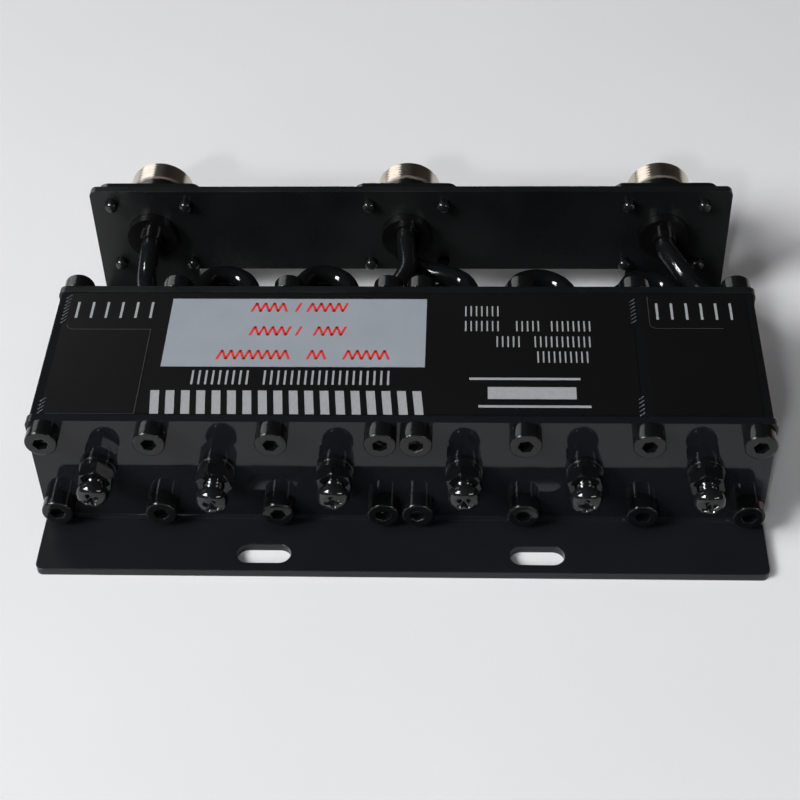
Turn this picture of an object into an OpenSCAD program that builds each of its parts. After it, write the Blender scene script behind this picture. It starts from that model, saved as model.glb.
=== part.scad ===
// Six-chamber cavity duplexer: two banks of three helical resonators between a slotted front
// plate and a folded rear bracket that carries three coaxial connectors.
// X runs along the banks, Y from the tuning screws to the connectors, Z up. Millimetres.
// The origin is on the standing surface, under the middle of the whole unit.

/* [Chambers and banks] */
// Diameter of a resonator chamber
chamber_d = 22; // [18:0.5:24]
// Distance between neighbouring chamber axes in one bank
chamber_pitch = 26; // [25.5:0.25:30]
// Wall between a bank's first chamber and the other bank
inner_wall = 3; // [2.5:0.1:5]
// Wall outside a bank's last chamber
outer_wall = 2.1; // [1.5:0.1:5]
// Height of a bank
bank_h = 28; // [27:0.5:34]
// Depth of a bank, between the two end plates
bank_d = 40; // [38:0.5:60]
// Space below the banks
bank_lift = 4; // [3.5:0.25:10]

/* [Sheet metal] */
// Thickness of both folded plates
sheet_t = 2; // [1.5:0.1:2.5]
// Inner radius of a fold
fold_r = 1; // [0.5:0.1:1.4]
// Reach of the end plates past the banks, at each side
plate_side = 0.9; // [0.7:0.1:3]
// Reach of the end plates above the banks
plate_lip = 0.2; // [0:0.05:0.5]
// Radius of the plates' free corners
corner_r = 1.6; // [0.5:0.1:3]
// Reach of the mounting flange in front of the front plate
flange_reach = 15.75; // [14:0.25:25]
// Distance between the rear end plate and the connector plate
connector_gap = 33; // [31:0.5:45]
// Height of the connector plate above the standing surface
connector_plate_h = 34.2; // [34:0.1:45]
// How much narrower the connector plate is than the end plates, at each side
connector_plate_inset = 1.65; // [0.5:0.05:3]
// Width of the bracket's window
window_w = 108; // [80:1:112]
// Height of the window's upper edge in the connector plate
window_sill = 9.7; // [6:0.1:10]
// Strip of the bracket's foot left beside the rear end plate
window_strip = 6; // [4:0.5:10]

/* [Mounting slots] */
// Length of a slot, end to end
slot_l = 12; // [8:0.5:20]
// Width of a slot
slot_w = 5.3; // [3:0.1:6]
// Distance between the two slots' centres
slot_spacing = 60; // [40:1:100]
// Distance from the flange's free edge to the slots' centre line
slot_setback = 4.85; // [4:0.05:7]

/* [Cap screws] */
// Nominal diameter of a cap screw
cap_d = 4; // [3:0.5:4]
// Diameter of its head
cap_head_d = 7; // [5.5:0.1:7.4]
// Height of its head
cap_head_h = 4; // [2.4:0.1:5]
// Size of its hexagon socket across the flats
cap_socket = 3; // [2:0.5:3.5]
// Length of its shank
cap_l = 12; // [8:0.5:18]
// Distance from a bank's upper or lower face to the screw's axis
cap_edge = 3; // [2.7:0.1:3.2]
// Distance from an end chamber's axis to the corner screws
cap_corner = 10.2; // [9.8:0.1:10.4]

/* [Tuning screws] */
// Nominal diameter of a tuning screw
tuner_d = 4; // [3:0.5:4.5]
// Length of its shank
tuner_l = 25; // [22:0.5:28]
// Diameter of its head
tuner_head_d = 7; // [6:0.1:8]
// Height of its head
tuner_head_h = 2.6; // [2:0.1:3.2]
// Lock nut, across the flats
nut_af = 7; // [6.5:0.1:8]
// Height of the lock nut
nut_h = 3.2; // [2.4:0.1:3.6]
// Diameter of the spring washer
washer_d = 7.6; // [7:0.1:8]
// Thickness of the spring washer
washer_t = 1; // [0.6:0.1:1.2]
// Diameter of the bush's collar
bush_collar_d = 8.2; // [7.8:0.1:10]
// Height of the bush's collar
bush_collar_h = 1.2; // [0.8:0.1:1.4]
// Diameter of the bush in the plate
bush_d = 6; // [5.4:0.1:7]
// Length of the bush behind the front plate
bush_inside = 2; // [1:0.5:6]

/* [Resonators] */
// Mean radius of a helix
helix_r = 6.2; // [5:0.1:6.4]
// Diameter of its wire
helix_wire = 1.8; // [1:0.1:2]
// Rise of one turn
helix_pitch = 4.4; // [3.6:0.1:4.6]
// Straight foot between the rear plate and the first turn
helix_foot = 8; // [7:0.5:9]
// Wire diameter of the coupling loops
loop_wire = 1; // [0.8:0.1:1.4]
// Depth of a coupling loop's straight legs inside its chamber
loop_leg = 2; // [1:0.25:2.5]

/* [Connectors] */
// Distance between neighbouring connectors
connector_pitch = 63.25; // [56:0.25:64]
// Sideways place of the middle connector
connector_shift = -0.7; // [-1.5:0.1:1.5]
// Distance from the connector plate's upper edge down to the connectors' axes
connector_drop = 13; // [12.8:0.1:14]
// Side of the square flange
connector_flange = 25.4; // [25:0.1:26]
// Thickness of the flange
connector_flange_t = 1.7; // [1.2:0.1:3]
// Hole-to-hole distance in the flange
connector_holes = 18.26; // [18:0.02:19]
// Diameter of the threaded barrel
barrel_d = 15.88; // [15:0.02:17]
// Length of the barrel behind the flange
barrel_l = 15.6; // [13:0.1:18]
// Diameter of the boss that passes through the connector plate
boss_d = 12.2; // [12.2:0.1:13.5]
// Reach of the boss in front of the connector plate
boss_reach = 2.4; // [2:0.1:3.5]
// Reach of the connector screws' ends in front of the plate
stud_reach = 1.5; // [1:0.1:3]

/* [Cable] */
// Outside diameter of the coaxial cable
cable_d = 4.95; // [4.5:0.05:5]
// Wall of the crimp ferrules
ferrule_wall = 0.45; // [0.3:0.05:0.5]
// Length of a ferrule on the rear plate
ferrule_l = 5.5; // [4:0.25:5.5]
// Distance between the two cable entries of one chamber
entry_spacing = 6.2; // [6.1:0.1:7]
// Sideways place of the cable entries, from the chamber's axis
entry_x = 6; // [5.5:0.1:6.3]

/* [Labels] */
// Thickness of the labels' film
label_t = 0.15; // [0.1:0.05:0.3]
// Width of the left label
left_label_w = 20.8; // [15:0.1:22]
// Bare gap between the middle and the right label
label_gap = 2.4; // [0.5:0.1:6]
// Width of the right label
right_label_w = 23.1; // [15:0.1:25]
// Bare margin between a bank's outer side and the end labels
label_margin = 2; // [1:0.1:4]
// Write-on sticker, width
sticker_w = 58.1; // [40:0.1:70]
// Write-on sticker, depth
sticker_d = 22.5; // [15:0.1:30]
// Thickness of the write-on sticker
sticker_t = 0.1; // [0.05:0.05:0.2]

/* [Hidden] */

$fn = 64;
clear = 0.04;              // running clearance of the tuning threads
nip = 1;                   // extra length of a cutting tool
chamber_r = chamber_d / 2;
first_x = inner_wall + chamber_r;
bank_w = first_x + 2 * chamber_pitch + chamber_r + outer_wall;
bank_top = bank_lift + bank_h;
axis_z = bank_lift + bank_h / 2;
plate_w = 2 * (bank_w + plate_side);
plate_h = bank_top + plate_lip;
total_d = flange_reach + 3 * sheet_t + bank_d + connector_gap + connector_flange_t + barrel_l;
front_y = flange_reach - total_d / 2;
connector_z = connector_plate_h - connector_drop;
bank_y = front_y + sheet_t;
chamber_end_y = bank_y + bank_d;
rear_y = chamber_end_y + sheet_t;
panel_y = rear_y + connector_gap;
flange_y = panel_y + sheet_t;
fold_out = fold_r + sheet_t;
// Chamber axes from left to right
chamber_xs = [for (k = [-2:0]) k * chamber_pitch - first_x, for (k = [0:2]) k * chamber_pitch + first_x];
// Columns of cap screws: in the walls between chambers and in the banks' corners
half_columns = [first_x - cap_corner, first_x + chamber_pitch / 2, first_x + 1.5 * chamber_pitch,
  first_x + 2 * chamber_pitch + cap_corner];
cap_xs = [for (x = half_columns) x, for (x = half_columns) -x];
cap_zs = [bank_lift + cap_edge, bank_top - cap_edge];
// Tuning screws: distance from the front plate to each head's face, and each lock nut's turn
tuner_out = [10.2, 11.7, 10.5, 10.5, 11, 11.2];
nut_turn = [19, -13, -23, -20, -15, -17];
face_gap = 0.05;            // between a lock nut and its washer
nut_base = bush_collar_h + washer_t + face_gap;
// Connectors from left to right
connector_xs = [for (k = [-1:1]) connector_shift + k * connector_pitch];
boss_l = sheet_t + boss_reach;
stub_l = 2;
fit_gap = 0.03;            // around the insulators and the centre contacts
insulator_top = 6.6;
mouth_r = 4.05;
insulator_r = 3.5;
bead_back = 2;             // wall between the insulator and the cable's seat
contact_r = 1.52;
contact_bore_r = 0.83;
contact_bore_l = 4;
contact_slit = [0.3, 3.4]; // width and length of the slits in the contact's end
contact_sunk = 4.6;        // contact's end below the barrel's end
relief_l = 2.4;
// Cable entries of each chamber, above and below the chamber's axis
entry_low = axis_z - entry_spacing / 2;
entry_high = axis_z + entry_spacing / 2;
entry_xs = [for (x = chamber_xs) x + entry_x];
seat = 2;                  // solid base of a ferrule, which the cable's end meets
ferrule_r = cable_d / 2 + 0.05 + ferrule_wall;
// Labels: bare edge of the banks along them, seam between two, and the sticker's place
label_edge = 0.5;
label_seam = 0.05;
sticker_inset = [3.5, 2.5];
mouth = ferrule_l + 0.5;   // where a cable is free of its ferrule
// The two leads of the middle connector leave it one above the other
pair_up = 3.05;
// Coils in the cables, each round an upright axis: fall of one turn, and share of the coil's own
// height in the last bend up to the entry
coil_fall = 5.6;
coil_tail = 0.75;
// Coil of each link: place beside the middle of its entries, distance of its axis from the rear
// plate, mean radius, and how far it starts below the upper entry
link_coils = [[3.3, 14.4, 5.8, 1.3], [1.4, 14.4, 5.9, 1.2], [-0.8, 12.4, 7, 1.6], [-0.8, 13.2, 5.9, 1.5]];
// Coil of the middle connector's second lead: beside the connector, then as above
middle_coil = [10.1, 14.6, 5.9, 2.9];
// Leads: points on the way from stub to ferrule, as shares of the way in X and Y, and sag in Z
left_via = [[-0.08, 0.16, 0.8], [-0.12, 0.36, 2.7], [0.33, 0.68, 2]];
middle_via = [[-0.06, 0.25, 0.1], [-0.08, 0.5, 0], [0.34, 0.78, 0]];
right_via = [[0.24, 0.2, 1.2], [0.61, 0.45, 3.4], [0.95, 0.74, 2.4]];

// Places children on the front plate at x, z with +Z pointing out of the unit
module at_front(x, z) {
  translate([x, front_y, z]) rotate([90, 0, 0]) children();
}

// Places children on the rear end plate at x, z with +Z pointing out of the unit
module at_rear(x, z) {
  translate([x, rear_y, z]) rotate([-90, 0, 0]) children();
}

// Places children on the connector plate's outer face, with +Z pointing out
module at_panel(x) {
  translate([x, flange_y, connector_z]) rotate([-90, 0, 0]) children();
}

// Rectangle centred on x, standing on y = 0, with its upper corners rounded
module tab_outline(w, h, r) {
  translate([-w / 2, 0]) square([w, h - r]);
  translate([r - w / 2, 0]) square([w - 2 * r, h]);
  for (s = [-1, 1]) translate([s * (w / 2 - r), h - r]) circle(r);
}

// Quarter of a fold's section, from the upright sheet at x = 0 to the foot at y = 0
module fold_outline() {
  translate([fold_out, fold_out]) difference() {
    intersection() {
      circle(fold_out);
      translate([-fold_out, -fold_out]) square(fold_out);
    }
    circle(fold_r);
  }
}

// A plate of the given width, height and upper corner radius, standing on its fold at y = 0
module upright(w, h, r) {
  translate([0, sheet_t, fold_out]) rotate([90, 0, 0]) linear_extrude(sheet_t) tab_outline(w, h - fold_out, r);
}

// The fold below an upright plate, which turns the sheet towards +Y
module fold(w) {
  rotate([90, 0, 90]) linear_extrude(w, center = true) fold_outline();
}

// Holes for every cap screw, from z0 to z1 on each screw's own axis
module cap_holes(d, z0, z1) {
  for (x = cap_xs, z = cap_zs) translate([x, 0, z]) rotate([-90, 0, 0])
    translate([0, 0, z0]) cylinder(d = d, h = z1 - z0);
}

// One bank: a block with three chambers bored through and blind tapped holes at both ends
module cavity_bank(side) {
  color("#161616") difference() {
    translate([side < 0 ? -bank_w : 0, bank_y, bank_lift]) cube([bank_w, bank_d, bank_h]);
    for (x = chamber_xs) translate([x, bank_y - nip, axis_z]) rotate([-90, 0, 0])
      cylinder(r = chamber_r, h = bank_d + 2 * nip, $fn = 96);
    cap_holes(cap_d + 2 * clear, bank_y - nip, front_y + cap_l + clear);
    cap_holes(cap_d + 2 * clear, rear_y - cap_l - clear, chamber_end_y + nip);
  }
}

// Front plate: closes the chambers, carries the tuning screws, and folds into the slotted flange
module front_plate() {
  color("#141414") difference() {
    union() {
      translate([0, bank_y, 0]) mirror([0, 1, 0]) {
        upright(plate_w, plate_h, corner_r);
        fold(plate_w);
        translate([0, fold_out, 0]) linear_extrude(sheet_t)
          tab_outline(plate_w, flange_reach + sheet_t - fold_out, corner_r);
      }
    }
    cap_holes(cap_d + 0.5, front_y - nip, bank_y + nip);
    for (x = chamber_xs) at_front(x, axis_z) translate([0, 0, -sheet_t - nip])
      cylinder(d = bush_d + 2 * clear, h = sheet_t + 2 * nip);
    for (s = [-1, 1]) translate([s * slot_spacing / 2, front_y - flange_reach + slot_setback, -nip]) {
      for (e = [-1, 1]) translate([e * (slot_l - slot_w) / 2, 0, 0]) cylinder(d = slot_w, h = sheet_t + 2 * nip);
      translate([-(slot_l - slot_w) / 2, -slot_w / 2, 0]) cube([slot_l - slot_w, slot_w, sheet_t + 2 * nip]);
    }
  }
}

// Rear bracket: end plate, foot with a window, and connector plate, folded from one sheet
module rear_bracket() {
  panel_w = plate_w - 2 * connector_plate_inset;
  foot_l = connector_gap + 2 * sheet_t - 2 * fold_out;
  color("#141414") difference() {
    union() {
      translate([0, chamber_end_y, 0]) {
        upright(plate_w, plate_h, corner_r);
        fold(plate_w);
        translate([-panel_w / 2, fold_out, 0]) cube([panel_w, foot_l, sheet_t]);
      }
      translate([0, flange_y, 0]) mirror([0, 1, 0]) {
        upright(panel_w, connector_plate_h, corner_r);
        fold(panel_w);
      }
    }
    cap_holes(cap_d + 0.5, chamber_end_y - nip, rear_y + nip);
    for (x = entry_xs, z = [entry_low, entry_high]) at_rear(x, z) translate([0, 0, -sheet_t - nip])
      cylinder(d = loop_wire + 2, h = sheet_t + 2 * nip);
    translate([-window_w / 2, rear_y + window_strip, -nip])
      cube([window_w, connector_gap + sheet_t - window_strip + nip, window_sill + nip]);
    for (x = connector_xs) at_panel(x) translate([0, 0, -sheet_t - nip]) {
      cylinder(d = boss_d + 2 * clear, h = sheet_t + 2 * nip);
      for (u = [-1, 1], v = [-1, 1]) translate([u, v, 0] * connector_holes / 2)
        cylinder(d = 3 + 2 * clear, h = sheet_t + 2 * nip);
    }
  }
}

// Socket head cap screw, its head standing on z = 0
module cap_screw() {
  soft = 0.4;
  difference() {
    union() {
      rotate_extrude() {
        square([cap_head_d / 2, cap_head_h - soft]);
        square([cap_head_d / 2 - soft, cap_head_h]);
        translate([cap_head_d / 2 - soft, cap_head_h - soft]) circle(soft);
      }
      translate([0, 0, -cap_l]) cylinder(d = cap_d, h = cap_l);
    }
    translate([0, 0, cap_head_h * 0.45]) cylinder(d = cap_socket / cos(30), h = cap_head_h, $fn = 6);
  }
}

module front_cap_screws() {
  color("#1c1c1c") for (x = cap_xs, z = cap_zs) at_front(x, z) rotate(x * 7) cap_screw();
}

module rear_cap_screws() {
  color("#1c1c1c") for (x = cap_xs, z = cap_zs) at_rear(x, z) rotate(x * 5) cap_screw();
}

// Threaded bushes that guide the tuning screws through the front plate
module tuning_bushes() {
  color("#1c1c1c") for (x = chamber_xs) at_front(x, axis_z) difference() {
    union() {
      cylinder(d = bush_collar_d, h = bush_collar_h);
      translate([0, 0, -sheet_t - bush_inside]) cylinder(d = bush_d, h = sheet_t + bush_inside + nip / 2);
    }
    translate([0, 0, -sheet_t - bush_inside - nip]) cylinder(d = tuner_d + 2 * clear, h = sheet_t + bush_inside + 3 * nip);
  }
}

// Split spring washers between the bushes and the lock nuts
module spring_washers() {
  split = 0.7;
  color("#1c1c1c") for (k = [0:5]) at_front(chamber_xs[k], axis_z) translate([0, 0, bush_collar_h]) difference() {
    cylinder(d = washer_d, h = washer_t);
    translate([0, 0, -nip]) cylinder(d = tuner_d + 0.2, h = washer_t + 2 * nip);
    rotate(200 + 40 * k) translate([0, -split / 2, -nip]) cube([washer_d, split, washer_t + 2 * nip]);
  }
}

// Hexagon lock nut of tuning screw k, with its outer corners chamfered
module lock_nut(k) {
  corner = nut_af / cos(30) / 2;
  cut = corner - nut_af / 2;
  color("#1e1e1e") at_front(chamber_xs[k], axis_z) translate([0, 0, nut_base]) rotate(nut_turn[k]) difference() {
    intersection() {
      cylinder(r = corner, h = nut_h, $fn = 6);
      rotate_extrude() polygon([[0, 0], [corner, 0], [corner, nut_h - cut * 0.6],
        [corner - cut, nut_h], [0, nut_h]]);
    }
    translate([0, 0, -nip]) cylinder(d = tuner_d + 2 * clear, h = nut_h + 2 * nip);
    translate([0, 0, nut_h - 0.4]) cylinder(d1 = tuner_d, d2 = tuner_d + 1.2, h = 0.6);
  }
}

// Tuning screw k: pan head with a cross recess, and a shank that reaches into its chamber
module tuning_screw(k) {
  arm = tuner_head_d * 0.58;
  arm_w = tuner_head_d * 0.15;
  crown = tuner_head_d * 0.8;
  color("#1e1e1e") at_front(chamber_xs[k], axis_z) translate([0, 0, tuner_out[k] - tuner_head_h]) difference() {
    union() {
      intersection() {
        cylinder(d = tuner_head_d, h = tuner_head_h);
        translate([0, 0, tuner_head_h - crown]) sphere(crown);
      }
      translate([0, 0, -tuner_l]) cylinder(d = tuner_d, h = tuner_l + nip / 2);
    }
    rotate(25 + 37 * k) translate([0, 0, tuner_head_h]) {
      for (a = [0, 90]) rotate(a) cube([arm, arm_w, tuner_head_h * 1.1], center = true);
      translate([0, 0, -tuner_head_h * 0.65]) cylinder(d1 = arm_w, d2 = arm * 0.62, h = tuner_head_h * 0.66);
    }
  }
}

// Closed tube of radius r along the points of path, with rings built on the given side vectors
function ring(p, t, r, n) =
  let (side = cross(t, [0, 0, 1]), s = side / norm(side), u = cross(s, t))
  [for (i = [0:n - 1]) p + r * (cos(360 * i / n) * s + sin(360 * i / n) * u)];

function unit(v) = v / norm(v);

function tangents(p) = [for (i = [0:len(p) - 1])
  unit(p[min(i + 1, len(p) - 1)] - p[max(i - 1, 0)])];

module tube(path, r, n) {
  t = tangents(path);
  rings = [for (i = [0:len(path) - 1]) each ring(path[i], t[i], r, n)];
  last = (len(path) - 1) * n;
  polyhedron(rings, concat(
    [[for (i = [n - 1:-1:0]) i]],
    [[for (i = [0:n - 1]) last + i]],
    [for (k = [0:len(path) - 2], i = [0:n - 1]) each [
      [k * n + i, k * n + (i + 1) % n, (k + 1) * n + i],
      [k * n + (i + 1) % n, (k + 1) * n + (i + 1) % n, (k + 1) * n + i]]]));
}

// Smooth curve through the points of p, in steps pieces between neighbouring points. It leaves
// the first point along from and reaches the last one along to.
function curve_point(a, b, c, d, s) = 0.5 * ((2 * b) + (c - a) * s
  + (2 * a - 5 * b + 4 * c - d) * s * s + (3 * b - a - 3 * c + d) * s * s * s);

function smooth(p, steps, from, to) =
  let (n = len(p) - 1,
    q = concat([p[1] - 2 * ((p[1] - p[0]) * from) * from], p, [p[n - 1] + 2 * ((p[n] - p[n - 1]) * to) * to]))
  concat([for (i = [1:n], k = [0:steps - 1]) curve_point(q[i - 1], q[i], q[i + 1], q[i + 2], k / steps)], [p[n]]);

// Helix k: a wire coil that is open towards the tuning screw and grounded on the rear plate
module helix(k) {
  turns = 4;
  steps = 12;
  foot = [[-helix_r, 0, 0], [-helix_r, -helix_foot + helix_wire, 0]];
  coil = [for (i = [1:turns * steps]) [-helix_r * cos(360 * i / steps),
    -helix_foot - helix_pitch * i / steps, -helix_r * sin(360 * i / steps)]];
  color("#c8c4b4") translate([chamber_xs[k], chamber_end_y, axis_z]) tube(concat(foot, coil), helix_wire / 2, 8);
}

// Coupling loop k: joins the two cable entries of chamber k beside its helix
module coupling_loop(k) {
  color("#c08040") translate([entry_xs[k], rear_y, axis_z]) {
    for (s = [-1, 1]) translate([0, 0, s * entry_spacing / 2]) rotate([90, 0, 0])
      cylinder(d = loop_wire, h = sheet_t + loop_leg);
    translate([0, -sheet_t - loop_leg, 0]) rotate([0, 90, 0]) rotate([0, 0, 180])
      rotate_extrude(angle = 180) translate([entry_spacing / 2, 0]) circle(d = loop_wire, $fn = 24);
  }
}

// Crimp ferrules on the rear plate, two for each chamber
module cable_ferrules() {
  color("#202020") for (x = entry_xs, z = [entry_low, entry_high]) at_rear(x, z) difference() {
    cylinder(r = ferrule_r, h = ferrule_l);
    translate([0, 0, seat]) cylinder(d = cable_d + 0.1, h = ferrule_l);
  }
}

// Square flange with rounded corners and four holes, standing on z = 0
module connector_flange_plate() {
  r = 2.5;
  half = connector_flange / 2;
  difference() {
    linear_extrude(connector_flange_t) {
      translate([-half, r - half]) square([2 * half, 2 * (half - r)]);
      translate([r - half, -half]) square([2 * (half - r), 2 * half]);
      for (u = [-1, 1], v = [-1, 1]) translate([u, v] * (half - r)) circle(r);
    }
    for (u = [-1, 1], v = [-1, 1]) translate([u, v, 0] * connector_holes / 2 - [0, 0, nip])
      cylinder(d = 3.3, h = connector_flange_t + 2 * nip);
  }
}

// Shell of one connector: flange, threaded barrel and the boss that takes the cable
module connector_shell(k) {
  soft = 0.6;
  tip_soft = 1;
  relief_r = barrel_d / 2 - 0.8;
  thread_z = connector_flange_t + relief_l;
  top = connector_flange_t + barrel_l;
  stubs = k == 1 ? [-pair_up, pair_up] : [0];
  color("#b9b4a8") at_panel(connector_xs[k]) difference() {
    union() {
      connector_flange_plate();
      rotate_extrude() polygon([[0, -boss_l], [boss_d / 2, -boss_l], [boss_d / 2, 0], [relief_r, 0],
        [relief_r, thread_z], [barrel_d / 2 - soft, thread_z], [barrel_d / 2, thread_z + soft],
        [barrel_d / 2, top - tip_soft], [barrel_d / 2 - tip_soft, top], [0, top]]);
      for (y = stubs) translate([0, y, -boss_l - stub_l]) cylinder(r = ferrule_r, h = stub_l + nip);
    }
    translate([0, 0, insulator_top]) cylinder(r = mouth_r, h = top);
    translate([0, 0, top - 0.8]) cylinder(r1 = mouth_r, r2 = mouth_r + 1.6, h = 1.6);
    translate([0, 0, bead_back - boss_l]) cylinder(r = insulator_r + fit_gap, h = insulator_top + boss_l);
    if (k != 1) translate([0, 0, -boss_l - nip]) cylinder(r = contact_r + 0.4, h = boss_l);
    for (y = stubs) translate([0, y, -boss_l - stub_l - nip]) cylinder(d = cable_d + 0.1, h = stub_l + nip);
  }
}

// Insulating bead around a connector's centre contact
module connector_insulator(k) {
  color("#f2efe6") at_panel(connector_xs[k]) translate([0, 0, bead_back - boss_l]) difference() {
    cylinder(r = insulator_r, h = insulator_top + boss_l - bead_back);
    translate([0, 0, -nip]) cylinder(r = contact_r + fit_gap, h = insulator_top + boss_l);
  }
}

// Centre contact of a connector: a pin with a socket and four slots in its outer end
module connector_contact(k) {
  back = k == 1 ? bead_back - boss_l : -boss_l;
  tip = connector_flange_t + barrel_l - contact_sunk;
  color("#d8b040") at_panel(connector_xs[k]) difference() {
    translate([0, 0, back]) cylinder(r = contact_r, h = tip - back);
    translate([0, 0, tip - contact_bore_l]) cylinder(r = contact_bore_r, h = contact_bore_l + nip);
    for (a = [0, 90]) rotate(a) translate([-contact_r - nip, -contact_slit[0] / 2, tip - contact_slit[1]])
      cube([2 * (contact_r + nip), contact_slit[0], contact_slit[1] + nip]);
  }
}

// Pan head screws through the connectors' flanges, their ends standing out of the plate
module connector_screws() {
  head_d = 5.4;
  head_h = 1.9;
  crown = 4.2;
  color("#1c1c1c") for (x = connector_xs, u = [-1, 1], v = [-1, 1]) at_panel(x)
    translate([u, v, 0] * connector_holes / 2 + [0, 0, connector_flange_t]) difference() {
      union() {
        intersection() {
          cylinder(d = head_d, h = head_h);
          translate([0, 0, head_h - crown]) sphere(crown);
        }
        translate([0, 0, -connector_flange_t - sheet_t - stud_reach])
          cylinder(d = 3, h = connector_flange_t + sheet_t + stud_reach + nip / 2);
      }
      rotate(20 + x) translate([0, 0, head_h]) for (a = [0, 90]) rotate(a) cube([3, 0.8, 1.8], center = true);
    }
}

// Coil round an upright axis at cx, back, from angle a0 clockwise by the given turn, falling from z
function coil(cx, back, r, a0, turn, z) = [for (a = [0:45:turn])
  [cx + r * cos(a0 - a), back + r * sin(a0 - a), z - coil_fall * a / 360]];

// Last bend from the coil's end p down to the entry at end
function tail(p, end) = [[(p[0] + end[0]) / 2, (p[1] + end[1]) / 2, coil_tail * p[2] + (1 - coil_tail) * end[2]], end];

// Link k from the upper entry at x0 to the lower one at x1, with a coil of one and a half turns
module link_cable(k, x0, x1) {
  c = link_coils[k];
  start = [x0, mouth, entry_high];
  turns = coil((x0 + x1) / 2 + c[0], c[1], c[2], 180, 540, entry_high - c[3]);
  points = concat([start, (start + turns[0]) / 2], turns, tail(turns[len(turns) - 1], [x1, mouth, entry_low]));
  color("#181818") translate([0, rear_y, 0])
    tube(concat([[x0, seat, entry_high]], smooth(points, 2, [0, 1, 0], [0, -1, 0]), [[x1, seat, entry_low]]),
      cable_d / 2, 12);
}

// Lead from a straight stub, whose cable seat is at start, to the entry at x1, z1
module lead_cable(start, via, x1, z1) {
  out = start - [0, stub_l + 0.6, 0];
  way = [x1, mouth, z1] - out;
  points = concat([out], [for (v = via) out + [v[0] * way[0], v[1] * way[1], v[1] * way[2] - v[2]]], [out + way]);
  color("#181818") translate([0, rear_y, 0])
    tube(concat([start], smooth(points, 4, [0, -1, 0], [0, -1, 0]), [[x1, seat, z1]]), cable_d / 2, 12);
}

// Where the cable of connector k is seated, measured from the rear plate
function stub_seat(k, up) = [connector_xs[k], connector_gap + sheet_t - boss_l, connector_z + up];

// Links between neighbouring chambers of one bank
module link_cable_1_2() {
  link_cable(0, entry_xs[0], entry_xs[1]);
}

module link_cable_2_3() {
  link_cable(1, entry_xs[1], entry_xs[2]);
}

module link_cable_4_5() {
  link_cable(2, entry_xs[3], entry_xs[4]);
}

module link_cable_5_6() {
  link_cable(3, entry_xs[4], entry_xs[5]);
}

// Leads from the connectors to the chambers at the ends of each bank
module lead_cable_left() {
  lead_cable(stub_seat(0, 0), left_via, entry_xs[0], entry_low);
}

module lead_cable_middle_3() {
  lead_cable(stub_seat(1, pair_up), middle_via, entry_xs[2], entry_high);
}

// The second lead of the middle connector, whose slack lies in a coil
module lead_cable_middle_4() {
  c = middle_coil;
  start = stub_seat(1, -pair_up);
  out = start - [0, stub_l + 0.6, 0];
  end = [entry_xs[3], mouth, entry_low];
  turns = coil(connector_xs[1] + c[0], c[1], c[2], 90, 450, entry_high - c[3]);
  // The way from the stub into the coil, nearer to the stub in X and to the coil in Y
  way = turns[0] - out;
  points = concat([out, out + [0.3 * way[0], 0.65 * way[1], 0.5 * way[2]]], turns, tail(turns[len(turns) - 1], end));
  color("#181818") translate([0, rear_y, 0])
    tube(concat([start], smooth(points, 2, [0, -1, 0], [0, -1, 0]), [[end[0], seat, end[2]]]), cable_d / 2, 12);
}

module lead_cable_right() {
  lead_cable(stub_seat(2, 0), right_via, entry_xs[5], entry_high);
}

// A label on the banks' upper face, from x by width w
module label(x, w) {
  translate([x, bank_y + label_edge, bank_top]) cube([w, bank_d - 2 * label_edge, label_t]);
}

module label_left() {
  color("#232323") label(label_margin - bank_w, left_label_w);
}

module label_middle() {
  x0 = label_margin - bank_w + left_label_w + label_seam;
  color("#232323") label(x0, bank_w - label_margin - right_label_w - label_gap - x0);
}

module label_right() {
  color("#232323") label(bank_w - label_margin - right_label_w, right_label_w);
}

// Blank sticker for notes, on the middle label
module write_on_sticker() {
  x0 = label_margin - bank_w + left_label_w + sticker_inset[0];
  color("#c9cdd6") translate([x0, chamber_end_y - sticker_inset[1] - sticker_d, bank_top + label_t])
    cube([sticker_w, sticker_d, sticker_t]);
}

cavity_bank(-1);  // cavity_bank_left
cavity_bank(1);  // cavity_bank_right
front_plate();
rear_bracket();
front_cap_screws();
rear_cap_screws();
tuning_bushes();
spring_washers();
lock_nut(0);  // lock_nut_1
lock_nut(1);  // lock_nut_2
lock_nut(2);  // lock_nut_3
lock_nut(3);  // lock_nut_4
lock_nut(4);  // lock_nut_5
lock_nut(5);  // lock_nut_6
tuning_screw(0);  // tuning_screw_1
tuning_screw(1);  // tuning_screw_2
tuning_screw(2);  // tuning_screw_3
tuning_screw(3);  // tuning_screw_4
tuning_screw(4);  // tuning_screw_5
tuning_screw(5);  // tuning_screw_6
helix(0);  // helix_1
helix(1);  // helix_2
helix(2);  // helix_3
helix(3);  // helix_4
helix(4);  // helix_5
helix(5);  // helix_6
coupling_loop(0);  // coupling_loop_1
coupling_loop(1);  // coupling_loop_2
coupling_loop(2);  // coupling_loop_3
coupling_loop(3);  // coupling_loop_4
coupling_loop(4);  // coupling_loop_5
coupling_loop(5);  // coupling_loop_6
cable_ferrules();
connector_shell(0);  // connector_shell_left
connector_shell(1);  // connector_shell_middle
connector_shell(2);  // connector_shell_right
connector_insulator(0);  // connector_insulator_left
connector_insulator(1);  // connector_insulator_middle
connector_insulator(2);  // connector_insulator_right
connector_contact(0);  // connector_contact_left
connector_contact(1);  // connector_contact_middle
connector_contact(2);  // connector_contact_right
connector_screws();
link_cable_1_2();
link_cable_2_3();
link_cable_4_5();
link_cable_5_6();
lead_cable_left();
lead_cable_middle_3();
lead_cable_middle_4();
lead_cable_right();
label_left();
label_middle();
label_right();
write_on_sticker();
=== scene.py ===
# The camera stands where the photograph was taken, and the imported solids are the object's frame.
# Every piece that has its true shape in the solids is only given its finish here.
import math

import bmesh
import bpy
from mathutils import Matrix, Vector


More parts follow.
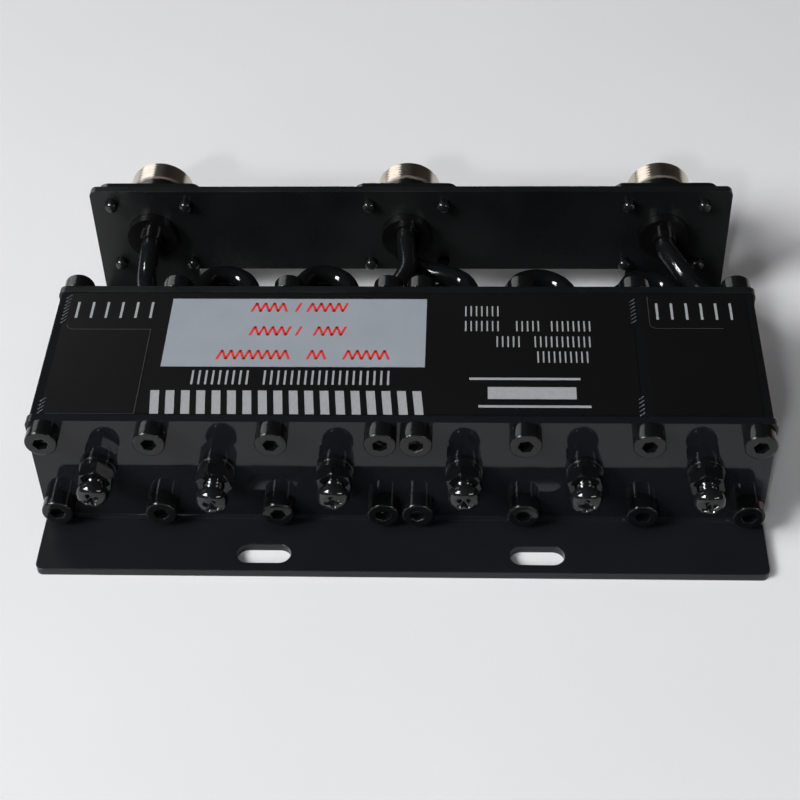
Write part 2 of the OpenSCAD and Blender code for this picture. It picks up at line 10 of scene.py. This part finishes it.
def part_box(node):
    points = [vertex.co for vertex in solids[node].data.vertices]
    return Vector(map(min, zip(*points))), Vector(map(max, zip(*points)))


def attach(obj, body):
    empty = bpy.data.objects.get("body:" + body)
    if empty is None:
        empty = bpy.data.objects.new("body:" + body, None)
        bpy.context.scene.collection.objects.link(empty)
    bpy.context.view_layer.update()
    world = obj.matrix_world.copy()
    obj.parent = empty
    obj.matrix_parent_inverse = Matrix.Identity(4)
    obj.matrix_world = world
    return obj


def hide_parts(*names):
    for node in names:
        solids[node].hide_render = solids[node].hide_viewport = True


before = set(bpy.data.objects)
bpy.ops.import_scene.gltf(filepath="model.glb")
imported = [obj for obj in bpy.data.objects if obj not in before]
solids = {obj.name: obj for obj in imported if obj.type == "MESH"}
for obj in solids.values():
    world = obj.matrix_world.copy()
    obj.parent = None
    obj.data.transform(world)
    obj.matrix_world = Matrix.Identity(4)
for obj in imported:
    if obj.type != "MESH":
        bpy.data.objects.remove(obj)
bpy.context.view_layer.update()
MM = 0.001

# Y of the front plate's outer face, and how far the flange reaches in front of it
FLANGE = 15.75
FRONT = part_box("front_plate")[0].y / MM + FLANGE

# The camera's turns, stand and focal length in pixels were fitted to the plates' corners. The
# picture is 800 pixels wide.
FRAME_WIDE = 36
FOCAL_PIXELS = 1707.65
yaw = math.radians(-3.393)
pitch = math.radians(44.409)
roll = math.radians(-2.133)
ahead = Vector((math.sin(yaw) * math.cos(pitch), math.cos(yaw) * math.cos(pitch), -math.sin(pitch)))
level = Vector((math.cos(yaw), -math.sin(yaw), 0))
above = level.cross(ahead)
across = level * math.cos(roll) + above * math.sin(roll)
upward = above * math.cos(roll) - level * math.sin(roll)
camera_data = bpy.data.cameras.new("camera")
camera_data.sensor_width = FRAME_WIDE
camera_data.lens = FRAME_WIDE * FOCAL_PIXELS / 800
camera_data.clip_start = 0.01
camera = bpy.data.objects.new("camera", camera_data)
bpy.context.scene.collection.objects.link(camera)
stand = Vector((15.681, FRONT - 254.105, 288.153)) * MM
camera.matrix_world = Matrix.Translation(stand) @ Matrix((across, upward, -ahead)).transposed().to_4x4()
bpy.context.scene.camera = camera
bpy.context.scene.view_settings.view_transform = "Standard"


# Floor: a plain pale studio board, slightly mottled. It is only the ground that the unit
# stands on, and the glossy enamel mirrors it.
def linear(code):
    """The linear colour of an sRGB hex code such as #c0c4c8."""
    parts = [int(code[i:i + 2], 16) / 255 for i in (1, 3, 5)]
    return tuple(p / 12.92 if p <= 0.04045 else ((p + 0.055) / 1.055) ** 2.4 for p in parts) + (1.0,)


def add(tree, kind, inputs=None, **settings):
    """Adds a shader node: settings are its own values, inputs are socket values or links."""
    made = tree.nodes.new(kind)
    for key, value in settings.items():
        setattr(made, key, value)
    for key, value in (inputs or {}).items():
        if isinstance(value, bpy.types.NodeSocket):
            tree.links.new(value, made.inputs[key])
        else:
            made.inputs[key].default_value = value
    return made


def finish(name, **shader):
    """A new material with its shader's own values; returns the material, its tree and its shader."""
    material = bpy.data.materials.new(name)
    material.use_nodes = True
    tree = material.node_tree
    surface = tree.nodes["Principled BSDF"]
    for key, value in shader.items():
        surface.inputs[key.replace("_", " ")].default_value = value
    return material, tree, surface


def mottled(name, wide, detail, low, high, rough=None, **shader):
    """A finish whose colour wanders between two hex codes in patches about wide millimetres
    across. Its roughness wanders with them where rough gives its two values."""
    material, tree, surface = finish(name, **shader)
    place = add(tree, "ShaderNodeTexCoord").outputs["Object"]
    patches = add(tree, "ShaderNodeTexNoise", {"Vector": place, "Scale": 1000 / wide, "Detail": detail})
    tint = add(tree, "ShaderNodeMix", {"Factor": patches.outputs["Fac"], "A": linear(low),
                                       "B": linear(high)}, data_type="RGBA")
    tree.links.new(tint.outputs["Result"], surface.inputs["Base Color"])
    if rough:
        sheen = add(tree, "ShaderNodeMapRange", {"Value": patches.outputs["Fac"], "To Min": rough[0],
                                                 "To Max": rough[1]})
        tree.links.new(sheen.outputs["Result"], surface.inputs["Roughness"])
    return material, tree, surface


board, tree, surface = mottled("painted_board", 1000 / 9, 3.0, "#dfe0e2", "#e9e9ea", Roughness=0.62)
# Away from the unit and its shadow the camera sees the board in the background's pale tone
place = add(tree, "ShaderNodeTexCoord").outputs["Object"]
reach = add(tree, "ShaderNodeVectorMath", {0: place}, operation="LENGTH")
away = add(tree, "ShaderNodeMapRange", {"Value": reach.outputs["Value"], "From Min": 0.24, "From Max": 0.8},
           interpolation_type="SMOOTHSTEP")
seen = add(tree, "ShaderNodeLightPath").outputs["Is Camera Ray"]
faded = add(tree, "ShaderNodeMath", {0: away.outputs["Result"], 1: seen}, operation="MULTIPLY")
pale = add(tree, "ShaderNodeEmission", {"Color": linear("#e2e3e5")})
blend = add(tree, "ShaderNodeMixShader", {0: faded.outputs["Value"], 1: surface.outputs["BSDF"],
                                          2: pale.outputs["Emission"]})
tree.links.new(blend.outputs["Shader"], tree.nodes["Material Output"].inputs["Surface"])
floor_mesh = bpy.data.meshes.new("floor")
floor_mesh.from_pydata([(-6, -6, 0), (6, -6, 0), (6, 6, 0), (-6, 6, 0)], [], [(0, 1, 2, 3)])
floor = bpy.data.objects.new("floor", floor_mesh)
bpy.context.scene.collection.objects.link(floor)
floor_mesh.materials.append(board)

# Light: a soft key lamp at the left and wide weak ones for the shadows. Small lamps that light
# nothing else draw the thin highlights. The room is dark, with brown furniture at the right.
world = bpy.data.worlds.new("room")
world.use_nodes = True
bpy.context.scene.world = world
tree = world.node_tree
way = add(tree, "ShaderNodeTexCoord").outputs["Generated"]
split = add(tree, "ShaderNodeSeparateXYZ", {"Vector": way})
side = add(tree, "ShaderNodeMapRange", {"Value": split.outputs["X"], "From Min": -1.0, "From Max": 1.0})
room = add(tree, "ShaderNodeValToRGB", {"Fac": side.outputs["Result"]})
ramp = room.color_ramp.elements
ramp[0].position = 0.38
ramp[0].color = linear("#525355")
ramp[1].position = 0.58
ramp[1].color = linear("#29282a")
brown = ramp.new(0.85)
brown.color = linear("#3b3531")
seen = add(tree, "ShaderNodeLightPath").outputs["Is Camera Ray"]
shown = add(tree, "ShaderNodeMix", {"Factor": seen, "A": room.outputs["Color"], "B": linear("#e2e3e5")},
            data_type="RGBA")
tree.links.new(shown.outputs["Result"], tree.nodes["Background"].inputs["Color"])


def lamp(name, spot, wide, tall, power, colour, mirrored=True, lights=True):
    """A rectangular lamp at spot, in metres, that faces the unit and may leave out gloss or light."""
    data = bpy.data.lights.new(name, "AREA")
    data.shape = "RECTANGLE"
    data.size = wide
    data.size_y = tall
    data.energy = power
    data.color = linear(colour)[:3]
    made = bpy.data.objects.new(name, data)
    made.location = spot
    made.rotation_euler = (-Vector(spot)).to_track_quat("-Z", "Y").to_euler()
    made.visible_glossy = mirrored
    made.visible_diffuse = lights
    bpy.context.scene.collection.objects.link(made)


lamp("key", (-1.5, -0.9, 1.4), 0.8, 0.8, 56, "#ffffff", mirrored=False)
lamp("fill", (0.2, -0.6, 2.4), 2.4, 2.4, 8, "#fdfdff", mirrored=False)
lamp("front", (-0.4, -1.7, 1.2), 0.14, 0.14, 10, "#ffffff", mirrored=False)
lamp("left_strip", (-1.35, -1.25, 1.05), 1.3, 0.2, 40, "#ffffff", lights=False)
lamp("left_glow", (-1.0, -0.8, 1.17), 0.45, 0.45, 40, "#ffffff", lights=False)
lamp("right_strip", (1.2, -1.25, 0.6), 1.1, 0.12, 8, "#ffffff", lights=False)
lamp("front_spot", (-0.42, -2.0, 0.5), 0.07, 0.07, 0.35, "#ffffff", lights=False)
lamp("left_window", (-1.2, 1.7, 0.8), 0.9, 1.3, 6, "#ffffff", lights=False)
lamp("warm_wall", (1.6, 1.3, 0.0), 0.5, 0.5, 1.2, "#e08a4c", lights=False)


# Cavity banks: two machined blocks, bored for three chambers each and sprayed with the whole
# unit in gloss black enamel, which shows as deep black with a faint orange peel.
def enamel(name, low, high, rough, peel, edge, specks, relief=0.02, dulled=0.0, ior=1.45):
    """Sprayed enamel: peel and relief are its ripples' width and height and edge its rounding, in
    millimetres. Specks is the share of 5 mm cells with a dust point in them, and dulled is the
    roughness that dust adds on low faces that look up."""
    material, tree, surface = finish(name, IOR=ior)
    place = add(tree, "ShaderNodeTexCoord").outputs["Object"]
    cloud = add(tree, "ShaderNodeTexNoise", {"Vector": place, "Scale": 1000 / 22.0, "Detail": 4.0})
    tint = add(tree, "ShaderNodeMix", {"Factor": cloud.outputs["Fac"], "A": linear(low), "B": linear(high)},
               data_type="RGBA")
    # Dust that settled in the wet paint: few pale points, about a third of a millimetre wide
    dust = add(tree, "ShaderNodeTexVoronoi", {"Vector": place, "Scale": 1000 / 5.0, "Randomness": 1.0})
    point = add(tree, "ShaderNodeMath", {0: dust.outputs["Distance"], 1: 0.035}, operation="LESS_THAN")
    pick = add(tree, "ShaderNodeSeparateColor", {"Color": dust.outputs["Color"]})
    few = add(tree, "ShaderNodeMath", {0: pick.outputs["Red"], 1: specks}, operation="LESS_THAN")
    dot = add(tree, "ShaderNodeMath", {0: point.outputs["Value"], 1: few.outputs["Value"]},
              operation="MULTIPLY")
    dusty = add(tree, "ShaderNodeMix", {"Factor": dot.outputs["Value"], "A": tint.outputs["Result"],
                                        "B": linear("#8d8c88")}, data_type="RGBA")
    tree.links.new(dusty.outputs["Result"], surface.inputs["Base Color"])
    sheen = add(tree, "ShaderNodeMapRange", {"Value": cloud.outputs["Fac"], "From Min": 0.3, "From Max": 0.7,
                                             "To Min": rough * 0.7, "To Max": rough * 1.4})
    # More dust lies on the faces that look up less than 6 mm above the ground
    normal = add(tree, "ShaderNodeNewGeometry").outputs["Normal"]
    facing = add(tree, "ShaderNodeSeparateXYZ", {"Vector": normal})
    looks_up = add(tree, "ShaderNodeMapRange", {"Value": facing.outputs["Z"], "From Min": 0.8,
                                                "From Max": 1.0, "To Max": dulled})
    height = add(tree, "ShaderNodeSeparateXYZ", {"Vector": place})
    is_low = add(tree, "ShaderNodeMath", {0: height.outputs["Z"], 1: 6 * MM}, operation="LESS_THAN")
    haze = add(tree, "ShaderNodeMath", {0: looks_up.outputs["Result"], 1: is_low.outputs["Value"],
                                        2: sheen.outputs["Result"]}, operation="MULTIPLY_ADD")
    tree.links.new(haze.outputs["Value"], surface.inputs["Roughness"])
    ripple = add(tree, "ShaderNodeTexNoise", {"Vector": place, "Scale": 1000 / peel, "Detail": 1.0})
    rounding = add(tree, "ShaderNodeBevel", {"Radius": edge * MM}, samples=4)
    bumps = add(tree, "ShaderNodeBump", {"Height": ripple.outputs["Fac"], "Distance": relief * MM,
                                         "Strength": 0.7, "Normal": rounding.outputs["Normal"]})
    tree.links.new(bumps.outputs["Normal"], surface.inputs["Normal"])
    return material


def dress(names, material, angle=35):
    """Gives CAD nodes a finish and smooth curved faces."""
    for name in names:
        mesh = solids[name].data
        mesh.materials.clear()
        mesh.materials.append(material)
        mesh.shade_smooth()
        mesh.set_sharp_from_angle(angle=math.radians(angle))


bank_enamel = enamel("bank_enamel", "#0c0d0e", "#121314", rough=0.1, peel=3.0, edge=0.3, specks=0.03)
dress(["cavity_bank_left", "cavity_bank_right"], bank_enamel)

# Front plate: laser-cut and folded 2 mm steel under thick gloss enamel, almost a black mirror on
# its upright face, with soft edges and a few nibs of dust. Dust dulls the flange.
plate_enamel = enamel("plate_enamel", "#111215", "#16181b", rough=0.055, peel=4.5, edge=0.35,
                      specks=0.1, dulled=0.3, ior=1.36)
dress(["front_plate"], plate_enamel)

# Rear bracket: the same folded steel, where the spray came from farther off and dried dull, so
# that it has a soft sheen and no sharp mirror image.
dry_enamel = enamel("dry_enamel", "#0e0f10", "#131415", rough=0.3, peel=1.2, edge=0.3, specks=0.06,
                    ior=1.38)
dress(["rear_bracket"], dry_enamel)

# Cap screws and bushes: steel parts sprayed over in place, so the enamel lies thick in their
# sockets and rounds every corner.
screw_enamel = enamel("screw_enamel", "#0b0c0d", "#111213", rough=0.08, peel=1.5, edge=0.45,
                      specks=0.05, relief=0.05, ior=1.39)
dress(["front_cap_screws", "rear_cap_screws", "tuning_bushes"], screw_enamel)

# Washers and lock nuts: they were turned again after the spraying, so their paint is thin and
# their corners stay crisp.
nut_enamel = enamel("nut_enamel", "#0b0c0d", "#111213", rough=0.07, peel=1.2, edge=0.09, specks=0.04,
                    relief=0.03, ior=1.36)
dress(["spring_washers"] + [f"lock_nut_{k}" for k in range(1, 7)], nut_enamel)

# Tuning screws: M4 pan heads with a cross recess that the paint softened. The head is drawn
# rounder than the solid's, and the shank gets its thread. The real pitch of 0.7 mm wouldn't show,
# so it is drawn 1 mm wide. The paint is thin here too, and shines most of all.
thin_enamel = enamel("thin_enamel", "#0f1011", "#161718", rough=0.07, peel=1.2, edge=0.09,
                     specks=0.04, relief=0.03)
PITCH = 1.0


def rim_point(mesh, centre, r, a, y):
    """A new vertex at radius r and angle a round the line along Y through centre (x, z)."""
    return mesh.verts.new(Vector((centre[0] + r * math.cos(a), y, centre[1] + r * math.sin(a))) * MM)


def domed_head(mesh, centre, radius, height, under, turned):
    """Adds a pan head whose under side lies at Y under, with its recess turned, in millimetres."""
    around = 96
    rings = 36
    # Below 1 the dome has a flat top and full sides
    fullness = 0.72
    # The cross recess: reach and half width of an arm, its soft edge, and its depth at the arm's
    # end and what the middle adds
    arm = 1.95
    half_arm = 0.6
    soft = 0.3
    shallow = 0.3
    deep = 1.2
    neck = 1.8
    rows = []
    for i in range(1, rings + 1):
        t = math.pi / 2 * i / rings
        r = radius * math.sin(t) ** fullness
        rise = height * max(math.cos(t), 0) ** fullness
        row = []
        for j in range(around):
            a = 2 * math.pi * j / around
            across_arm = min(abs(r * math.cos(a - turned)), abs(r * math.sin(a - turned)))
            inside = min(max((half_arm - across_arm) / soft, 0), 1) * min(max((arm - r) / soft, 0), 1)
            sunk = inside ** 2 * (3 - 2 * inside) * (shallow + deep * max(1 - r / arm, 0))
            row.append(rim_point(mesh, centre, r, a, under - rise + sunk))
        rows.append(row)
    rows.append([rim_point(mesh, centre, neck, 2 * math.pi * j / around, under) for j in range(around)])
    middle = rim_point(mesh, centre, 0, 0, under - height + shallow + deep)
    for j in range(around):
        mesh.faces.new((middle, rows[0][j], rows[0][(j + 1) % around]))
    for inner, outer in zip(rows, rows[1:]):
        for j in range(around):
            mesh.faces.new((inner[j], outer[j], outer[(j + 1) % around], inner[(j + 1) % around]))


def threaded_rod(mesh, centre, radius, depth, start, end):
    """Adds a right-hand thread along Y from start to end, in millimetres, around centre (x, z)."""
    around = 40
    along = 8
    # Above 1 the grooves are narrower than the ridges
    narrowness = 1.3
    rings = []
    count = round((end - start) / PITCH * along)
    for i in range(count + 1):
        y = start + PITCH * i / along
        ring = []
        for j in range(around):
            phase = (i / along + j / around) % 1
            r = radius - depth * (1 - abs(2 * phase - 1)) ** narrowness
            ring.append(rim_point(mesh, centre, r, 2 * math.pi * j / around, y))
        rings.append(ring)
    for low, high in zip(rings, rings[1:]):
        for j in range(around):
            mesh.faces.new((low[j], high[j], high[(j + 1) % around], low[(j + 1) % around]))
    mesh.faces.new(rings[0])
    mesh.faces.new(rings[-1][::-1])


def show(name, mesh, material, body):
    """Turns a bmesh into a piece that rides on a body."""
    data = bpy.data.meshes.new(name)
    bmesh.ops.recalc_face_normals(mesh, faces=mesh.faces)
    mesh.to_mesh(data)
    mesh.free()
    data.materials.append(material)
    data.shade_smooth()
    data.set_sharp_from_angle(angle=math.radians(35))
    made = bpy.data.objects.new(name, data)
    bpy.context.scene.collection.objects.link(made)
    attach(made, body)
    return made


# The screws' axes, the heights of the solid's head and of the dome, the shank's radius and the
# thread's depth
AXES = [-66, -40, -14, 14, 40, 66]
AXIS_Z = 18
SOLID_HEAD = 2.57
DOME = 2.6
SHANK = 1.99
THREAD_DEPTH = 0.45
for k, x in enumerate(AXES, 1):
    name = f"tuning_screw_{k}"
    low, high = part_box(name)
    under = low.y / MM + SOLID_HEAD
    mesh = bmesh.new()
    # Each recess is turned another way, and the shank starts a little inside the head
    domed_head(mesh, (x, AXIS_Z), (high.x - low.x) / 2 / MM, DOME, under, math.radians(37 * k - 12))
    threaded_rod(mesh, (x, AXIS_Z), SHANK, THREAD_DEPTH, under - 0.4, high.y / MM)
    screw = show(f"threaded_tuner_{k}", mesh, thin_enamel, f"tuner_{k}")
    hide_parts(name)

# Helices: silver-plated wire wound on a mandrel, one in each chamber, soldered to the rear plate.
# The silver is a soft white metal with a fine drawn grain.
silver = mottled("silvered_wire", 1.5, 5.0, "#c6c2b6", "#efece2", rough=(0.18, 0.34), Metallic=1.0)[0]
dress([f"helix_{k}" for k in range(1, 7)], silver, 60)

# Coupling loops: bright copper wire bent between the two cable entries of a chamber. It has
# darker stains where it was handled.
copper = mottled("copper_wire", 2.0, 4.0, "#a9643c", "#d98f62", rough=(0.2, 0.4), Metallic=1.0)[0]
dress([f"coupling_loop_{k}" for k in range(1, 7)], copper, 60)

# Cables and ferrules: 5 mm coaxial cable crimped into ferrules, black jacket under the same
# spray, a little duller where it doesn't reach.
cable_enamel = enamel("coated_cable", "#0a0b0c", "#101112", rough=0.09, peel=2.2, edge=0.1,
                      specks=0.02, relief=0.04, ior=1.37)
cables = ["link_cable_1_2", "link_cable_2_3", "link_cable_4_5", "link_cable_5_6",
          "lead_cable_left", "lead_cable_middle_3", "lead_cable_middle_4", "lead_cable_right"]
dress(cables, cable_enamel, 60)
# The solids' tubes have few sides, so their seams are joined and their bends rounded off
for name in cables:
    joined = solids[name].modifiers.new("joined", "WELD")
    joined.merge_threshold = 0.002 * MM
    rounder = solids[name].modifiers.new("rounder", "SUBSURF")
    rounder.levels = 2
    rounder.render_levels = 2
dress(["cable_ferrules"], screw_enamel)

# Connector shells: turned brass under bright nickel, with a 24-per-inch thread on the barrel.
# The spray from the front blackened all but the outer few millimetres of each barrel.
# The thread's pitch, where it starts along Y, and how far the spray reached
THREAD = 25.4 / 24
THREAD_FROM = FRONT + 83.0
SPRAYED_TO = FRONT + 89.2
nickel, tree, surface = finish("nickel", Roughness=0.16)
place = add(tree, "ShaderNodeTexCoord").outputs["Object"]
split = add(tree, "ShaderNodeSeparateXYZ", {"Vector": place})
ragged = add(tree, "ShaderNodeTexNoise", {"Vector": place, "Scale": 1000 / 2.5, "Detail": 4.0})
# The paint's edge wanders by up to 1.6 mm
wander = add(tree, "ShaderNodeMath", {0: ragged.outputs["Fac"], 1: 1.6 * MM, 2: split.outputs["Y"]},
             operation="MULTIPLY_ADD")
bare = add(tree, "ShaderNodeMapRange", {"Value": wander.outputs["Value"],
                                        "From Min": (SPRAYED_TO + 0.5) * MM,
                                        "From Max": (SPRAYED_TO + 1.9) * MM})
tarnish = add(tree, "ShaderNodeMix", {"Factor": ragged.outputs["Fac"], "A": linear("#b8aa98"),
                                      "B": linear("#d9d2c6")}, data_type="RGBA")
tint = add(tree, "ShaderNodeMix", {"Factor": bare.outputs["Result"], "A": linear("#0b0b0c"),
                                   "B": tarnish.outputs["Result"]}, data_type="RGBA")
tree.links.new(tint.outputs["Result"], surface.inputs["Base Color"])
tree.links.new(bare.outputs["Result"], surface.inputs["Metallic"])
turn = add(tree, "ShaderNodeMath", {0: split.outputs["Y"], 1: THREAD * MM}, operation="DIVIDE")
ridge = add(tree, "ShaderNodeMath", {0: turn.outputs["Value"], 1: 0.5}, operation="PINGPONG")
groove = add(tree, "ShaderNodeMath", {0: split.outputs["Y"], 1: THREAD_FROM * MM},
             operation="GREATER_THAN")
cut = add(tree, "ShaderNodeMath", {0: ridge.outputs["Value"], 1: groove.outputs["Value"]},
          operation="MULTIPLY")
relief = add(tree, "ShaderNodeBump", {"Height": cut.outputs["Value"], "Distance": 0.35 * MM,
                                      "Strength": 0.1})
tree.links.new(relief.outputs["Normal"], surface.inputs["Normal"])
dress([f"connector_shell_{s}" for s in ("left", "middle", "right")], nickel)

# Insulators: turned white PTFE beads that hold the centre contacts in the shells. They are smooth
# and slightly translucent, and faintly toned by handling.
bead = mottled("white_insulation", 3.0, 3.0, "#dedbd0", "#f3f1ea", Roughness=0.38,
               Subsurface_Weight=0.15)[0]
dress([f"connector_insulator_{s}" for s in ("left", "middle", "right")], bead)

# Centre contacts: turned bronze sockets, slit to grip the plug's pin, and plated with gold that
# is a little worn.
gold = mottled("gilt_contact", 1.2, 4.0, "#b8903c", "#e6c878", rough=(0.18, 0.32), Metallic=1.0)[0]
dress([f"connector_contact_{s}" for s in ("left", "middle", "right")], gold)

# Connector screws and paint drops: four small steel screws hold each connector. The enamel hangs
# as a rounded drop on the end of each, in front of the connector plate, and shines softly.
dress(["connector_screws"], screw_enamel)
# The screws' distance from the connector's axis along X and Z, and a drop's radius and thickness
HOLE = 9.13
DROP = 1.52
DROP_FLATTENED = 0.55
mesh = bmesh.new()
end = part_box("connector_screws")[0].y
for side in ("left", "middle", "right"):
    low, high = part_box(f"connector_contact_{side}")
    centre = (low + high) / 2
    for u in (-1, 1):
        for v in (-1, 1):
            drop = Matrix.Translation((centre.x + u * HOLE * MM, end + 0.1 * MM, centre.z + v * HOLE * MM))
            bmesh.ops.create_uvsphere(mesh, u_segments=20, v_segments=12, radius=DROP * MM,
                                      matrix=drop @ Matrix.Diagonal((1, DROP_FLATTENED, 1, 1)))
drop_enamel = enamel("drop_enamel", "#111213", "#1c1d1e", rough=0.1, peel=0.9, edge=0.2, specks=0.05,
                     relief=0.08)
show("paint_drops", mesh, drop_enamel, "duplexer")

# Milled strips: beside the labels the cutter left slanted ribs on the banks' top, which show
# through the paint. Their pale grey is a painted highlight that stands for the light glinting
# along them. The real ones are about 0.6 mm apart. They are drawn
# 1.2 mm apart, so that they show.
rib_highlight_enamel = enamel("rib_highlight_enamel", "#3c4045", "#7d848b", rough=0.2, peel=1.0, edge=0.1,
                       specks=0.03)
RIB_STEP = 1.2
RIB_HALF_LENGTH = 0.8
RIB_HALF_WIDTH = 0.16
RIB_HEIGHT = 0.2
mesh = bmesh.new()
bank_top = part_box("cavity_bank_left")[1].z / MM
along = Vector((math.cos(math.radians(45)), math.sin(math.radians(45)), 0))
beside = Vector((-along.y, along.x, 0))
# Each strip's place along X, and its ends behind the front plate's face
for x, y0, y1 in ((-77.0, 2.4, 7.4), (-77.0, 31.4, 41.2), (51.7, 2.4, 8.4), (51.7, 31.6, 41.0)):
    for i in range(int((y1 - y0) / RIB_STEP)):
        centre = Vector((x, FRONT + y0 + RIB_STEP * i + 0.5, bank_top))
        ends = []
        for side in (-RIB_HALF_LENGTH, RIB_HALF_LENGTH):
            row = []
            for j in range(7):
                a = math.pi * j / 6
                out = beside * RIB_HALF_WIDTH * math.cos(a)
                out += Vector((0, 0, RIB_HEIGHT * math.sin(a) - 0.01))
                row.append(mesh.verts.new((centre + along * side + out) * MM))
            ends.append(row)
        for j in range(6):
            mesh.faces.new((ends[0][j], ends[0][j + 1], ends[1][j + 1], ends[1][j]))
        mesh.faces.new((ends[0][0], ends[1][0], ends[1][6], ends[0][6]))
        mesh.faces.new(ends[0][::-1])
        mesh.faces.new(ends[1])
show("milled_ribs", mesh, rib_highlight_enamel, "duplexer")

# Labels: three pieces of satin black polyester film, glued side by side on the banks' top. The
# fine grain of the film's face gives a soft, even sheen.
film, tree, surface = mottled("label_film", 30.0, 3.0, "#0b0b0b", "#0f0f0f", rough=(0.15, 0.24))
place = add(tree, "ShaderNodeTexCoord").outputs["Object"]
grain = add(tree, "ShaderNodeTexNoise", {"Vector": place, "Scale": 1000 / 0.6, "Detail": 3.0})
relief = add(tree, "ShaderNodeBump", {"Height": grain.outputs["Fac"], "Distance": 0.006 * MM,
                                      "Strength": 0.5})
tree.links.new(relief.outputs["Normal"], surface.inputs["Normal"])
dress(["label_left", "label_middle", "label_right"], film)

# Print on the labels: pale grey ink, screen-printed on the film and slightly uneven. It is drawn
# as plain bars, ticks and blocks.
ink = mottled("pale_ink", 0.5, 2.0, "#8e9093", "#a8aaac", Roughness=0.45)[0]
# The film's height above the ground and the coat's thickness
LABEL_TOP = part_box("label_middle")[1].z / MM
INK = 0.012


def ticks(x0, x1, y0, y1, wide, step, lean=0.0):
    """Even strokes from x0 to x1, each a slanted bar between y0 and y1 as a list of four corners."""
    count = int((x1 - x0 - abs(lean) - wide) / step)
    row = []
    for i in range(count + 1):
        x = x0 + step * i + max(-lean, 0)
        row.append([(x, y0), (x + wide, y0), (x + wide + lean, y1), (x + lean, y1)])
    return row


def strokes_piece(name, rows, z, material):
    """One flat piece from four-cornered strokes that lie at height z, as thick as a coat of ink."""
    mesh = bmesh.new()
    for corners in rows:
        low = [mesh.verts.new(Vector((x, FRONT + y, z)) * MM) for x, y in corners]
        high = [mesh.verts.new(Vector((x, FRONT + y, z + INK)) * MM) for x, y in corners]
        mesh.faces.new(low[::-1])
        mesh.faces.new(high)
        for i in range(4):
            j = (i + 1) % 4
            mesh.faces.new((low[i], low[j], high[j], high[i]))
    show(name, mesh, material, "duplexer")


def box(x0, y0, x1, y1):
    """The four corners of an upright box."""
    return [(x0, y0), (x1, y0), (x1, y1), (x0, y1)]


# A wide band of even slanted bars
strokes_piece("band_print", ticks(-54.0, 5.8, 2.3, 9.5, 1.9, 3.34, -0.7), LABEL_TOP, ink)

# Rows of even ticks, like a ruler's
rows = ticks(-45.6, -32.2, 11.4, 15.8, 0.45, 1.5) + ticks(-29.8, -1.4, 11.4, 15.8, 0.45, 1.5)
rows += ticks(29.9, 42.0, 18.6, 22.2, 0.32, 1.2)
rows += ticks(21.0, 27.1, 23.6, 27.1, 0.32, 1.2) + ticks(29.4, 42.6, 23.6, 27.1, 0.32, 1.2)
rows += ticks(14.0, 21.6, 28.8, 32.2, 0.32, 1.2) + ticks(25.4, 30.6, 28.8, 32.2, 0.32, 1.2)
rows += ticks(33.2, 42.0, 28.8, 32.2, 0.32, 1.2) + ticks(14.0, 21.6, 33.8, 37.2, 0.32, 1.2)
strokes_piece("small_print", rows, LABEL_TOP, ink)

# Two slim bars with a block between them
rows = [box(17.0, 4.6, 41.0, 5.3), box(15.0, 13.1, 39.0, 13.8), box(19.0, 7.2, 38.0, 10.9)]
strokes_piece("plain_emblem", rows, LABEL_TOP, ink)

# End labels: a few thin strokes each
rows = ticks(-74.6, -56.4, 33.0, 38.4, 0.55, 3.4) + ticks(56.8, 74.4, 32.8, 38.3, 0.55, 3.3)
strokes_piece("end_label_print", rows, LABEL_TOP, ink)

# Pad edges: a thin pad lies under the film of each end label, and its rim shows through the film
# as a faint raised line. The line's pale grey is a painted highlight of the light catching that rim.
painted_rim_highlight = mottled("painted_pad_rim_highlight", 3.0, 3.0, "#18181a", "#4a4a4d", Roughness=0.35)[0]
rows = [box(-74.3, 29.1, -56.6, 29.25), box(-56.75, 2.4, -56.6, 29.1), box(56.8, 29.8, 71.4, 29.95),
        box(55.1, 31.6, 55.25, 40.6), box(-75.9, 2.25, -56.6, 2.35)]
# One rounded corner of each pad, in six short pieces, and its radius inside and outside the line
INSIDE = 1.55
OUTSIDE = 1.7
for x, y in ((-74.25, 30.75), (56.75, 31.5)):
    for i in range(6):
        a0 = math.pi + math.pi / 2 * i / 6
        a1 = math.pi + math.pi / 2 * (i + 1) / 6
        rows.append([(x + r * math.cos(a), y + r * math.sin(a)) for r, a in
                     ((INSIDE, a0), (OUTSIDE, a0), (OUTSIDE, a1), (INSIDE, a1))])
strokes_piece("pad_edges", rows, LABEL_TOP, painted_rim_highlight)

# Write-on sticker: pale blue-grey matt film, made to take a pen, stuck on the middle label. Three
# rows of plain zigzags in red pen are on it.
matt_film = mottled("sticker_film", 8.0, 4.0, "#8a9099", "#999fa8", Roughness=0.5)[0]
dress(["write_on_sticker"], matt_film)

# The pen's red is stronger where it was pressed
pen = mottled("red_pen", 1.0, 2.0, "#bf1f18", "#df3a2f", Roughness=0.5)[0]
STICKER_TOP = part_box("write_on_sticker")[1].z / MM
# The pen's stroke to the right, its half height, how far it leans and how wide it is
STROKE = 1.0
HALF_TALL = 1.5
LEAN = 1.0
WIDE = 0.6
rows = []
for y, spans in ((20.8, ((-41, -25), (-21, -17), (-13, -3.5))),
                 (28.6, ((-34.4, -26), (-24, -23.4), (-20, -13.4))),
                 (36.6, ((-34.7, -27), (-24.6, -24), (-22, -13.9)))):
    for x0, x1 in spans:
        for i in range(math.ceil((x1 - x0) / STROKE)):
            x = x0 + STROKE * i
            up = HALF_TALL if i % 2 == 0 else -HALF_TALL
            rows.append([(x, y - up), (x + WIDE, y - up), (x + WIDE + LEAN, y + up), (x + LEAN, y + up)])
strokes_piece("pen_strokes", rows, STICKER_TOP, pen)
